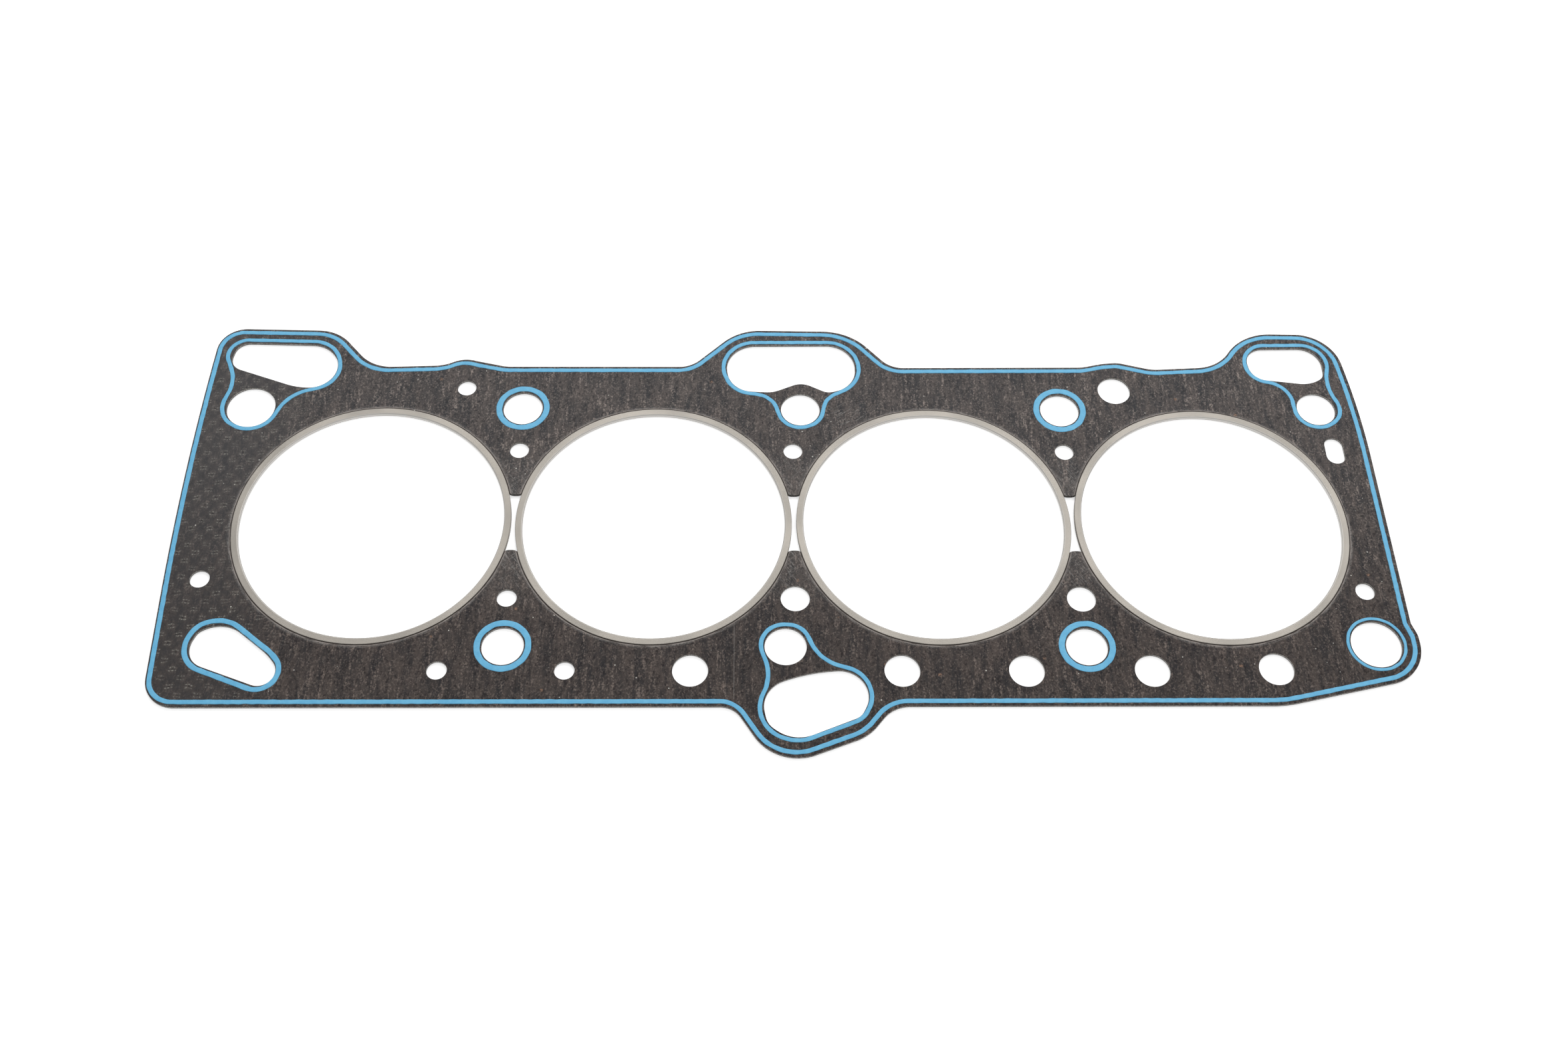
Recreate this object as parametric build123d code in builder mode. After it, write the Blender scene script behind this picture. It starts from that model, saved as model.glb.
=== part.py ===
"""Cylinder head gasket for a four-cylinder engine: a clinched steel core between two fibre
facings, four folded steel fire rings and raised sealing beads printed on both faces.

X runs along the cylinders and Z is the clamping direction. The origin is the middle of the
cylinder row at half the thickness, which is also the middle of the four inner head bolts.
"""

import os
from math import radians, tan

from build123d import *

os.makedirs("parts", exist_ok=True)

# Driving dimensions, in millimetres: the cylinders and their fire rings
ring_bore = 86.8  # inside diameter of a fire ring
ring_flange = 2.35  # width of the folded flange seen from above
ring_gap = 1.5  # air left between two neighbouring rings
ring_sheet = 0.25  # steel of a ring
ring_bend = 0.18  # inner radius of its folds
ring_proud = 0.15  # height of a flange above the facing
slot_half = 11.35  # half length of the slot punched between two rings

# The layers
core_sheet = 0.44
facing_sheet = 0.38
fold_gap = 0.25  # room between the layers' punched edge and the wall of the ring
seat_gap = 0.12  # groove left round the flange in the pressed facing
slot_lap = 0.3  # how far the slot's edge hides under the flanges

# Head bolts, dowels and coolant
row_margin = 0.45  # a bolt row lies this far outside the line that touches the rings
bolt_hole = 13.5
dowel_hole = 16.6
coolant_large = 11.4
coolant_medium = 9.5
coolant_small = 6.5
coolant_oblong = 10.7  # length of the one oblong hole
coolant_step = 20.0  # from an inner bolt to the coolant holes beside it
coolant_out = 8.6  # from a bolt row out to the outer coolant holes
middle_step = 33.5  # from the middle bolt to the coolant holes of the intake edge

# Sealing beads
bead_height = 0.15
bead_slope = 40  # degrees that a bead's sides lean in
edge_bead = 1.5  # width of the bead round the outline
edge_inset = 1.6  # from the outline to the middle of that bead
edge_shift = -0.4  # the print sits this far towards the drain end
port_bead = 1.4
drain_bead = 1.7
bolt_bead = 2.0
dowel_bead = 1.0
bead_land = 0.4  # bare facing between a round hole and its bead

arc_room = 0.98  # share of a straight run that the arcs at its two ends may use

# Positions that follow from them
ring_inner = ring_bore / 2
ring_outer = ring_inner + ring_flange
pitch = 2 * ring_outer + ring_gap
row = ring_outer + row_margin
web = (slot_half + row) / 2  # the coolant holes lie halfway from a slot to the bolts
drain_end, timing_end = -2 * pitch, 2 * pitch
body_half = core_sheet / 2 + facing_sheet
ring_half = body_half + ring_proud
ring_columns = [(i - 1.5) * pitch for i in range(4)]
slot_columns = [-pitch, 0, pitch]

inner_bolts = [(x, y) for x in (-pitch, pitch) for y in (-row, row)]
other_bolts = [(2.8, row), (-3.3, -row), (timing_end - 2.8, row + 1.0)]
dowels = [(drain_end - 0.3, row), (timing_end + 0.4, -row + 0.9)]

large_coolant = [
    (pitch + coolant_step, row + coolant_out),
    (pitch + coolant_step, -row - coolant_out),
    (pitch - coolant_step, -row - coolant_out),
    (middle_step, -row - coolant_out),
    (-middle_step, -row - coolant_out),
    (timing_end - middle_step + 0.2, -row - coolant_out + 0.6),
]
medium_coolant = [(0, -web), (pitch, -web)]
small_coolant = [
    (-pitch, web),
    (0, web),
    (pitch, web),
    (-pitch, -web),
    (-pitch - coolant_step, row + coolant_out),
    (-pitch - coolant_step, -row - coolant_out),
    (-pitch + coolant_step, -row - coolant_out),
    (drain_end - 6.3, -row + 24.3),
    (timing_end + 0.5, -row + 20.4),
]
oblong_place = (timing_end + 0.6, row - 16.5)


def moved(corners, x, y):
    """Corners given from a bolt's place, as corners in the gasket's own frame."""
    return [(x + dx, y + dy, radius) for dx, dy, radius in corners]


def rounded_loop(corners):
    """Closed outline through corners (x, y, radius), each arc held to the room on its runs."""
    points = [Vector(x, y) for x, y, radius in corners]
    before = points[-1:] + points[:-1]
    after = points[1:] + points[:1]
    reaches = []
    for last, point, following, corner in zip(before, points, after, corners):
        turn = (point - last).get_angle(following - point)
        reaches.append(corner[2] * tan(radians(turn / 2)))
    shares = []
    for i in range(len(points)):
        room = arc_room * (after[i] - points[i]).length
        shares.append(room / max(room, reaches[i] + reaches[(i + 1) % len(points)]))
    radii = [corner[2] * min(shares[i - 1], shares[i]) for i, corner in enumerate(corners)]
    return FilletPolyline(*points, radius=radii, close=True)


# Outline of the plate, counter-clockwise from the drain end
drain_foot = moved([(-16.7, -21.3, 10)], drain_end, -row)
bottom_lobe = moved(
    [(-19.8, -21.0, 7.5), (-6.3, -41.8, 16), (22.3, -30.9, 16), (30.3, -20.9, 10.5)], 0, -row
)
dowel_lobe = moved(
    [(-32.0, -20.6, 40), (14.7, -10.4, 14), (14.5, 4.1, 8), (13.0, 8.5, 2)], timing_end, -row
)
timing_lobe = moved(
    [(12.5, -0.8, 300), (8.0, 33.7, 15), (-24.1, 34.0, 19.5), (-34.6, 19.1, 15.5)], timing_end, row
)
timing_bump = moved(
    [(34.5, 17.7, 16), (22.4, 20.8, 11), (16.7, 20.2, 11), (9.8, 18.6, 16)], pitch, row
)
centre_lobe = moved(
    [(34.9, 18.0, 10), (20.5, 34.0, 21), (-18.5, 34.4, 18.5), (-35.4, 18.1, 10.5)], 0, row
)
drain_bump = moved(
    [(-7.0, 17.8, 16), (-17.1, 20.1, 12.5), (-21.9, 21.5, 10.5), (-29.0, 18.2, 15.5)], -pitch, row
)
drain_lobe = moved(
    [(39.3, 17.3, 14.5), (25.4, 33.3, 15), (-15.4, 34.0, 9.5), (-18.9, -25.9, 1200)], drain_end, row
)
plate_corners = (
    drain_foot
    + bottom_lobe
    + dowel_lobe
    + timing_lobe
    + timing_bump
    + centre_lobe
    + drain_bump
    + drain_lobe
)

# Large ports, each given from the bolt beside it
drain_port = moved(
    [(-8.9, 27.9, 5), (21.9, 27.2, 10), (37.7, 7.3, 9), (13.7, 8.6, 23), (-10.7, 17.5, 5.5)],
    drain_end,
    row,
)
centre_port = moved(
    [
        (-24.2, 27.8, 10),
        (22.4, 28.3, 10),
        (22.3, 9.6, 9.5),
        (12.4, 7.0, 5),
        (3.4, 11.5, 7),
        (-6.8, 7.1, 10),
        (-21.5, 7.9, 9),
    ],
    0,
    row,
)
timing_port = moved(
    [(-24.8, 27.4, 6.5), (2.9, 27.9, 7.5), (2.6, 14.8, 4.5), (-3.3, 11.5, 11), (-23.3, 14.0, 6.5)],
    timing_end,
    row,
)
feed_port = moved(
    [
        (-11.7, -14.8, 9.5),
        (4.3, -9.0, 57),
        (28.6, -7.4, 9),
        (20.1, -24.6, 5),
        (-1.0, -33.2, 11.5),
        (-9.2, -27.2, 6.5),
    ],
    0,
    -row,
)
drain_slot = moved(
    [(-3.6, 5.2, 4), (4.3, 9.2, 10.5), (19.7, -3.1, 23), (31.8, -19.7, 5), (-7.9, -4.7, 7.5)],
    drain_end,
    -row,
)

# Middle lines of the beads that loop a port together with its bolt
port_routes = {
    "drain_port_bead": moved(
        [
            (-15.1, 29.1, 6.5),
            (25.5, 28.3, 10.5),
            (30.1, 10.5, 9.5),
            (11.9, 5.4, 14),
            (4.2, -12.9, 9),
            (-11.9, -4.0, 9.5),
            (-7.3, 11.1, 15.5),
        ],
        drain_end,
        row,
    ),
    "centre_port_bead": moved(
        [
            (-29.8, 28.8, 11),
            (21.3, 29.2, 11),
            (25.2, 11.6, 11),
            (11.8, 4.8, 8),
            (9.6, -5.7, 7),
            (-2.3, -9.9, 7.5),
            (-6.9, 5.4, 8.5),
            (-20.4, 7.6, 9.5),
        ],
        0,
        row,
    ),
    "timing_port_bead": moved(
        [
            (-26.4, 28.6, 8),
            (6.7, 29.1, 8.5),
            (2.3, 11.0, 17.5),
            (7.2, -1.8, 7.5),
            (-9.6, -12.3, 7.5),
            (-11.1, 11.3, 9),
            (-23.9, 13.5, 7.5),
        ],
        timing_end,
        row,
    ),
    "feed_port_bead": moved(
        [
            (-14.4, 7.9, 7.5),
            (1.9, 7.7, 7),
            (7.7, -5.1, 14),
            (27.7, -11.3, 10),
            (20.7, -25.4, 7.5),
            (0.8, -33.3, 11),
            (-15.6, -28.7, 11),
            (-7.8, -10.4, 15.5),
        ],
        0,
        -row,
    ),
}
drain_route = moved(
    [(-3.9, 7.4, 7), (4.7, 10.1, 10.5), (20.6, -2.6, 15), (38.4, -24.1, 6.5), (-10.4, -5.0, 9)],
    drain_end,
    -row,
)

# Plan of the three layers: one punching cuts them together
with BuildSketch() as plate_outline:
    with BuildLine():
        rounded_loop(plate_corners)
    make_face()

with BuildSketch() as slots:
    with Locations(*[(x, 0) for x in slot_columns]):
        Rectangle(ring_gap + 2 * ring_flange, 2 * slot_half)
    with Locations(*[(x, 0) for x in ring_columns]):
        Circle(ring_outer - slot_lap, mode=Mode.SUBTRACT)

with BuildSketch() as ports:
    for port in (drain_port, centre_port, timing_port, feed_port, drain_slot):
        with BuildLine():
            rounded_loop(port)
        make_face()

with BuildSketch() as plate:
    add(plate_outline.sketch)
    add(slots.sketch, mode=Mode.SUBTRACT)
    add(ports.sketch, mode=Mode.SUBTRACT)
    with Locations(*[(x, 0) for x in ring_columns]):
        Circle(ring_inner + ring_sheet + fold_gap, mode=Mode.SUBTRACT)
    with Locations(*inner_bolts, *other_bolts):
        Circle(bolt_hole / 2, mode=Mode.SUBTRACT)
    with Locations(*dowels):
        Circle(dowel_hole / 2, mode=Mode.SUBTRACT)
    with Locations(*large_coolant):
        Circle(coolant_large / 2, mode=Mode.SUBTRACT)
    with Locations(*medium_coolant):
        Circle(coolant_medium / 2, mode=Mode.SUBTRACT)
    with Locations(*small_coolant):
        Circle(coolant_small / 2, mode=Mode.SUBTRACT)
    with Locations(oblong_place):
        SlotOverall(coolant_oblong, coolant_small, rotation=90, mode=Mode.SUBTRACT)

# Steel core
with BuildPart() as core_plate:
    with BuildSketch(Plane.XY.offset(-core_sheet / 2)):
        add(plate.sketch)
    extrude(amount=core_sheet)
core_plate.part.label = "core_plate"
export_step(core_plate.part, "parts/core_plate.step")

# Fibre facings, pressed thinner under the flanges of the fire rings
with BuildPart() as upper_facing:
    with BuildSketch(Plane.XY.offset(core_sheet / 2)):
        add(plate.sketch)
    extrude(amount=facing_sheet)
    with BuildSketch(Plane.XY.offset(ring_half - ring_sheet)):
        with Locations(*[(x, 0) for x in ring_columns]):
            Circle(ring_outer + seat_gap)
    extrude(amount=ring_sheet, mode=Mode.SUBTRACT)
upper_facing.part.label = "upper_facing"
export_step(upper_facing.part, "parts/upper_facing.step")

with BuildPart() as lower_facing:
    mirror(upper_facing.part, about=Plane.XY)
lower_facing.part.label = "lower_facing"
export_step(lower_facing.part, "parts/lower_facing.step")


def fire_ring(x):
    """Steel strip folded to a U round the edge of one bore, open side outwards."""
    wall = ring_inner + ring_sheet
    seat = ring_half - ring_sheet
    section = [
        (ring_outer, ring_half, 0),
        (ring_inner, ring_half, ring_sheet + ring_bend),
        (ring_inner, -ring_half, ring_sheet + ring_bend),
        (ring_outer, -ring_half, 0),
        (ring_outer, -seat, 0),
        (wall, -seat, ring_bend),
        (wall, seat, ring_bend),
        (ring_outer, seat, 0),
    ]
    with BuildPart() as ring:
        with BuildSketch(Plane(origin=(x, 0, 0), x_dir=(1, 0, 0), z_dir=(0, -1, 0))):
            with BuildLine():
                rounded_loop(section)
            make_face()
        revolve(axis=Axis((x, 0, 0), (0, 0, 1)))
    return ring.part


for number, x in enumerate(ring_columns, start=1):
    ring_part = fire_ring(x)
    ring_part.label = f"fire_ring_{number}"
    export_step(ring_part, f"parts/fire_ring_{number}.step")


def raised_bead(band, shift):
    """A printed bead of trapezium section that stands on the upper facing."""
    with BuildPart() as bead:
        with BuildSketch(Plane(origin=(shift, 0, body_half))):
            add(band)
        extrude(amount=bead_height, taper=bead_slope)
    return bead.part


def loop_band(corners, width):
    """Flat band of one width along a rounded closed route."""
    with BuildSketch() as band:
        with BuildLine():
            rounded_loop(corners)
        inside = make_face(mode=Mode.PRIVATE)
        offset(inside, amount=width / 2)
        offset(inside, amount=-width / 2, mode=Mode.SUBTRACT)
    return band.sketch


def ring_band(place, hole, width):
    """Flat ring round one hole, a bare land outside its edge."""
    with BuildSketch() as band:
        with Locations(place):
            Circle(hole / 2 + bead_land + width)
            Circle(hole / 2 + bead_land, mode=Mode.SUBTRACT)
    return band.sketch


with BuildSketch() as edge_band:
    offset(plate_outline.sketch, amount=edge_bead / 2 - edge_inset)
    offset(plate_outline.sketch, amount=-edge_bead / 2 - edge_inset, mode=Mode.SUBTRACT)

bands = {"edge_bead": edge_band.sketch}
for name, route in port_routes.items():
    bands[name] = loop_band(route, port_bead)
bands["drain_slot_bead"] = loop_band(drain_route, drain_bead)
bands["dowel_bead"] = ring_band(dowels[1], dowel_hole, dowel_bead)
for number, place in enumerate(inner_bolts, start=1):
    bands[f"bolt_bead_{number}"] = ring_band(place, bolt_hole, bolt_bead)

for name, band in bands.items():
    upper_bead = raised_bead(band, edge_shift if name == "edge_bead" else 0)
    upper_bead.label = f"upper_{name}"
    export_step(upper_bead, f"parts/upper_{name}.step")
    with BuildPart() as lower_bead:
        mirror(upper_bead, about=Plane.XY)
    lower_bead.part.label = f"lower_{name}"
    export_step(lower_bead.part, f"parts/lower_{name}.step")
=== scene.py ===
import bpy
import numpy as np
from mathutils import Matrix
from mathutils.geometry import delaunay_2d_cdt


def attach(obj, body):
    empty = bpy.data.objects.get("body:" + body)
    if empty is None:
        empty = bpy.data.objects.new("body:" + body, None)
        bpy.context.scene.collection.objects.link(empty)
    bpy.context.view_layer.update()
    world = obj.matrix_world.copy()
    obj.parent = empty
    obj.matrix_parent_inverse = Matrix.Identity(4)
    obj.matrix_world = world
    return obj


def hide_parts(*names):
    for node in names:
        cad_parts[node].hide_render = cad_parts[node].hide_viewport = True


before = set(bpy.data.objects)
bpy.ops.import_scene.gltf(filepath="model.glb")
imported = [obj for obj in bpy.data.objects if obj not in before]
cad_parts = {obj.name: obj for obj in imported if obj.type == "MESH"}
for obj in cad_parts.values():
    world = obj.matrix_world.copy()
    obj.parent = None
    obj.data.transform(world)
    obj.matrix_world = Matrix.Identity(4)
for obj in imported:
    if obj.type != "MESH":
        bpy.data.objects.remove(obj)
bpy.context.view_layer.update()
print("frame loaded:", len(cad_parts), "nodes")

# Lengths in this file are millimetres; meshes are scaled to metres when they are made.
millimetre = 0.001

gasket = {
    "pitch": 93.0,  # bore spacing
    "boltRadius": 6.75,
    "sleeveRadius": 8.3,
    "coreTop": 0.22,  # the facings lie on the core from here
    "faceTop": 0.6,  # top of a facing, z = 0 is half the thickness
    "ringTop": 0.75,
    "floorDrop": 0.76,  # the floor is just below the rings' undersides
}
ringColumns = np.array([-1.5, -0.5, 0.5, 1.5]) * gasket["pitch"]
slotColumns = np.array([-1.0, 0.0, 1.0]) * gasket["pitch"]


# Camera first, at the place and angle of the photograph

cameraSetup = {
    "lens": 38.9426,
    "sensor": 36.0,
    "place": (-16.853, -296.513, 479.502),
    "right": (0.99970942, -0.01043013, 0.02173211),
    "up": (-0.00259161, 0.8498129, 0.52707809),
    "ahead": (0.02396572, 0.52698126, -0.84953893),
}


def setCamera(setup):
    lens = bpy.data.cameras.new("camera")
    lens.lens = setup["lens"]
    lens.sensor_width = setup["sensor"]
    lens.clip_start = 0.01
    camera = bpy.data.objects.new("camera", lens)
    bpy.context.scene.collection.objects.link(camera)
    axes = np.array([setup["right"], setup["up"], -np.array(setup["ahead"])]).T
    turn = np.eye(4)
    turn[:3, :3] = axes
    turn[:3, 3] = np.array(setup["place"]) * millimetre
    camera.matrix_world = Matrix(turn.tolist())
    bpy.context.scene.camera = camera


setCamera(cameraSetup)


# Loops and meshes

def roundedLoop(corners, step):
    # A closed route of straight runs joined by tangent arcs, read at even steps of its own length.
    # An arc reaches radius * tan(turn / 2) along both runs, less where a run is too short for it.
    # On a run the point is start + direction * s, and on an arc centre + radius * side(heading).
    table = np.array(corners, float)
    point, radius = table[:, :2], table[:, 2]
    run = np.roll(point, -1, 0) - point
    length = np.linalg.norm(run, axis=1)
    ahead = run / length[:, None]
    behind = np.roll(ahead, 1, 0)
    cross = behind[:, 0] * ahead[:, 1] - behind[:, 1] * ahead[:, 0]
    turn = np.arctan2(cross, (behind * ahead).sum(1))
    reach = radius * np.tan(np.abs(turn) / 2)
    room = 0.98 * length
    share = room / np.maximum(room, reach + np.roll(reach, -1))
    radius = radius * np.minimum(np.roll(share, 1), share)
    reach = radius * np.tan(np.abs(turn) / 2)
    arcStart, arcEnd = point - behind * reach[:, None], point + ahead * reach[:, None]
    pieces = np.stack([radius * np.abs(turn), length - reach - np.roll(reach, -1)], 1).ravel()
    ends = np.cumsum(pieces)
    count = max(8, int(round(ends[-1] / step)))
    s = np.arange(count) / count * ends[-1]
    piece = np.searchsorted(ends, s, side="right")
    t = s - np.r_[0, ends][piece]
    i, onArc = piece // 2, piece % 2 == 0
    side = np.sign(turn)[i]
    heading = np.arctan2(behind[i, 1], behind[i, 0])
    bent = heading + side * t / np.maximum(radius[i], 1e-9)
    left = np.stack([-np.sin(heading), np.cos(heading)], 1)
    bentLeft = np.stack([-np.sin(bent), np.cos(bent)], 1)
    arc = arcStart[i] + (left - bentLeft) * (side * radius[i])[:, None]
    return np.where(onArc[:, None], arc, arcEnd[i] + ahead[i] * t[:, None])


def circleLoop(x, y, radius, step):
    # centre + radius * (cos a, sin a), at even angles
    count = max(16, int(round(2 * np.pi * radius / step)))
    a = np.arange(count) / count * 2 * np.pi
    return np.stack([x + radius * np.cos(a), y + radius * np.sin(a)], 1)


def areaOf(loop):
    # Half the sum of the cross products of neighbouring points, positive where the loop runs anticlockwise.
    following = np.roll(loop, -1, 0)
    return (loop[:, 0] * following[:, 1] - loop[:, 1] * following[:, 0]).sum() / 2


def outwardOf(loop):
    # The tangent turned a quarter, pointing out of the area that the loop encloses.
    tangent = np.roll(loop, -1, 0) - np.roll(loop, 1, 0)
    tangent /= np.linalg.norm(tangent, axis=1)[:, None]
    return np.stack([tangent[:, 1], -tangent[:, 0]], 1) * np.sign(areaOf(loop))


def wobble(count, low, high, seed):
    # Sum of sines that close on themselves after count steps, each with low to high waves and a seeded
    # phase, over a divisor that keeps it mostly between -1 and 1.
    sines, divisor = 14, 4.5
    random = np.random.default_rng(seed)
    waves = random.integers(low, high, sines)
    phase = random.random(sines)
    s = np.arange(count)[:, None] / count
    return np.sin(2 * np.pi * (waves * s + phase)).sum(1) / divisor


def meshPiece(name, points, quads, triangles, material, slotName, stoodFor, smooth=None):
    # A smooth-shaded object of quads and triangles, with its own normals where smooth gives them.
    mesh = bpy.data.meshes.new(name)
    sizes = np.r_[np.full(len(quads), 4), np.full(len(triangles), 3)].astype(np.int32)
    corners = np.r_[quads.ravel(), triangles.ravel()].astype(np.int32)
    mesh.vertices.add(len(points))
    mesh.vertices.foreach_set("co", (points * millimetre).astype(np.float32).ravel())
    mesh.loops.add(len(corners))
    mesh.loops.foreach_set("vertex_index", corners)
    mesh.polygons.add(len(sizes))
    mesh.polygons.foreach_set("loop_start", np.r_[0, np.cumsum(sizes)[:-1]].astype(np.int32))
    mesh.update(calc_edges=True)
    mesh.validate()
    mesh.polygons.foreach_set("use_smooth", np.ones(len(sizes), bool))
    if smooth is not None:
        mesh.normals_split_custom_set_from_vertices(smooth.astype(np.float32))
    mesh.materials.append(material)
    piece = bpy.data.objects.new(name, mesh)
    bpy.context.scene.collection.objects.link(piece)
    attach(piece, "root")
    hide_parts(stoodFor)
    return piece


def sweepLoop(path, profile, width=1.0, drift=0.0, height=1.0, base=0.0):
    # Point (i, j) is path i + outward i * (profile side j * width i + drift i), at height base + profile
    # height j * height i. Both ways round are closed, so the grid of quads has no seam.
    outward = outwardOf(path)
    if areaOf(path) < 0:
        path, outward = path[::-1], outward[::-1]
    if areaOf(profile) < 0:
        profile = profile[::-1]
    many, wide = len(path), len(profile)
    width, drift, height = (np.broadcast_to(value, many)[:, None] for value in (width, drift, height))
    side = profile[None, :, 0] * width + drift
    lift = base + profile[None, :, 1] * height
    flat = path[:, None, :] + outward[:, None, :] * side[:, :, None]
    points = np.concatenate([flat, lift[:, :, None]], 2).reshape(-1, 3)
    i, j = np.meshgrid(np.arange(many), np.arange(wide), indexing="ij")
    nextI, nextJ = (i + 1) % many, (j + 1) % wide
    quads = np.stack([i * wide + j, nextI * wide + j, nextI * wide + nextJ, i * wide + nextJ], -1)
    return points, quads.reshape(-1, 4)


def mirrored(points, quads, triangles):
    # The same shape on the block side: z changes sign and each face is walked the other way.
    return points * (1, 1, -1), quads[:, ::-1], triangles[:, ::-1]


noTriangles = np.zeros((0, 3), int)


# Node helpers

def newMaterial(name):
    material = bpy.data.materials.new(name)
    material.use_nodes = True
    return material, material.node_tree, material.node_tree.nodes["Principled BSDF"]


def feed(tree, socket, value):
    if isinstance(value, bpy.types.NodeSocket):
        tree.links.new(value, socket)
    else:
        socket.default_value = value


def node(tree, kind, inputs, output=0, **settings):
    made = tree.nodes.new(kind)
    for key, value in settings.items():
        setattr(made, key, value)
    for key, value in inputs.items():
        feed(tree, made.inputs[key], value)
    return made.outputs[output]


def calc(tree, operation, *values):
    return node(tree, "ShaderNodeMath", dict(enumerate(values)), operation=operation)


def times(tree, first, *others):
    for other in others:
        first = calc(tree, "MULTIPLY", first, other)
    return first


def scaleAndAdd(tree, value, factor, offset):
    return calc(tree, "MULTIPLY_ADD", value, factor, offset)


def vector(tree, operation, *values, output=0):
    return node(tree, "ShaderNodeVectorMath", dict(enumerate(values)), output, operation=operation)


def lengthOf(tree, value):
    return vector(tree, "LENGTH", value, output=1)


def parts(tree, value, count):
    return [node(tree, "ShaderNodeSeparateXYZ", {0: value}, n) for n in range(count)]


def ease(tree, value, low, high):
    # Smooth step from 0 at low to 1 at high; high may be the smaller of the two.
    inputs = {"Value": value, "From Min": low, "From Max": high}
    return node(tree, "ShaderNodeMapRange", inputs, interpolation_type="SMOOTHSTEP")


def blendColour(tree, amount, first, second):
    return node(tree, "ShaderNodeMix", {0: amount, 6: first, 7: second}, 2, data_type="RGBA")


def blendVector(tree, amount, first, second):
    return node(tree, "ShaderNodeMix", {0: amount, 4: first, 5: second}, 1, data_type="VECTOR")


def noise(tree, place, scale, detail=2.0, roughness=0.5, output=0):
    # Output 0 is grey, 1 is coloured.
    inputs = {"Vector": place, "Scale": scale, "Detail": detail, "Roughness": roughness}
    return node(tree, "ShaderNodeTexNoise", inputs, output)


def placeInMillimetres(tree, scale=(1.0, 1.0, 1.0), turn=0.0):
    spot = node(tree, "ShaderNodeTexCoord", {}, 3)
    scaled = tuple(s / millimetre for s in scale)
    turned = node(tree, "ShaderNodeMapping", {"Vector": spot, "Rotation": (0.0, 0.0, turn)})
    return node(tree, "ShaderNodeMapping", {"Vector": turned, "Scale": scaled})


def drawnNoise(tree, scale, detail=2.0, roughness=0.5, turn=0.0):
    # Noise with its own scale along each axis, after a turn about z.
    return noise(tree, placeInMillimetres(tree, scale, turn), 1.0, detail, roughness)


def nearestRing(tree, x, y):
    # The four rings are evenly spaced and the pattern is even about x = 0 and x = +-pitch, so
    # |  | |x| - pitch | - pitch / 2 | is the distance along x from the nearest ring's middle.
    # Gives the spoke from that middle, mirrored to one side, and its length.
    folded = calc(tree, "ABSOLUTE", calc(tree, "SUBTRACT", calc(tree, "ABSOLUTE", x), gasket["pitch"]))
    across = calc(tree, "SUBTRACT", folded, gasket["pitch"] / 2)
    spoke = node(tree, "ShaderNodeCombineXYZ", {0: across, 1: y})
    return spoke, lengthOf(tree, spoke)


def roundTheRing(tree, x, spoke, radius, along, apart, outward):
    # A place for noise in lines round the ring: the spoke's direction times along, plus x times apart so
    # that the rings differ, with the radius times outward as its third part.
    aim = vector(tree, "MULTIPLY", vector(tree, "NORMALIZE", spoke), (along, along, 0.0))
    rest = node(tree, "ShaderNodeCombineXYZ", {0: times(tree, x, apart), 2: times(tree, radius, outward)})
    return vector(tree, "ADD", aim, rest)


def finishSurface(tree, principled, colour, rough, height, strength, depth):
    # Colour, roughness and a fine relief, whose depth is in millimetres.
    tree.links.new(colour, principled.inputs["Base Color"])
    tree.links.new(rough, principled.inputs["Roughness"])
    relief = {"Strength": strength, "Distance": depth * millimetre, "Height": height}
    tree.links.new(node(tree, "ShaderNodeBump", relief), principled.inputs["Normal"])


# Fibre facings

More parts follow.
